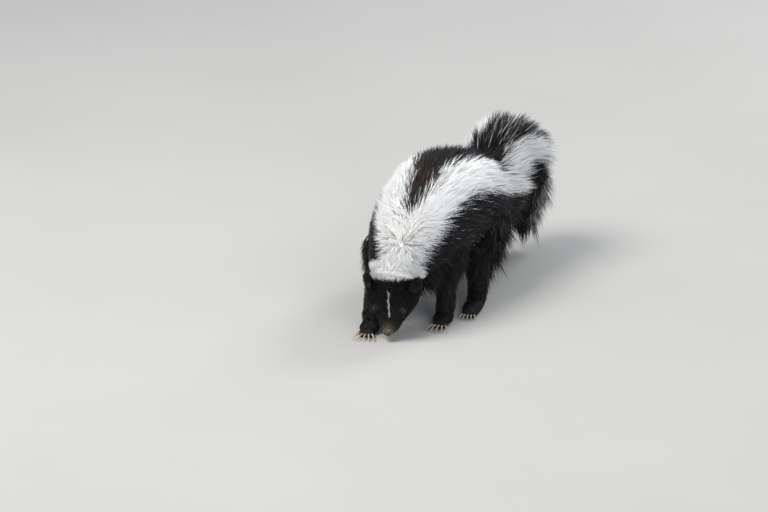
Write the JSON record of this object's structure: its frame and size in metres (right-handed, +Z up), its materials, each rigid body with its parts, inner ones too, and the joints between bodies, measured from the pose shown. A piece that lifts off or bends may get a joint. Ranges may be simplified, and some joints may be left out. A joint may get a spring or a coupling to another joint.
{
  "type": "striped skunk",
  "caption": "Life-size still model of a walking striped skunk: black, long-haired and low, with a white cap and stripes, its nose to the ground and a bushy tail arched behind.",
  "frame": {"origin": "on the ground, under the middle of the whole animal's box", "axes": "+Z up; the animal walks towards -Y, its left side is +X and its tail is towards +Y"},
  "size_m": [0.16, 0.424, 0.1964],
  "materials": {
    "black_fur": "long glossy black hair",
    "white_fur": "long white hair",
    "short_fur": "short dense black hair",
    "nose_leather": "bare dusty skin",
    "eye": "wet gloss",
    "claw": "horn, satin"
  },
  "bodies": {
    "root": {"head": "short_fur", "neck": "white_fur", "torso": "black_fur", "tail_root": "black_fur", "tail_arch": "black_fur", "tail_end": "black_fur", "nose": "nose_leather", "eye_left": "eye", "eye_right": "eye", "ear_left": "short_fur", "ear_right": "short_fur", "leg_front_left": "short_fur", "leg_front_right": "short_fur", "leg_hind_left": "short_fur", "leg_hind_right": "short_fur", "paw_front_left": "short_fur", "paw_front_right": "short_fur", "paw_hind_left": "short_fur", "paw_hind_right": "short_fur"}
  },
  "joints": []
}
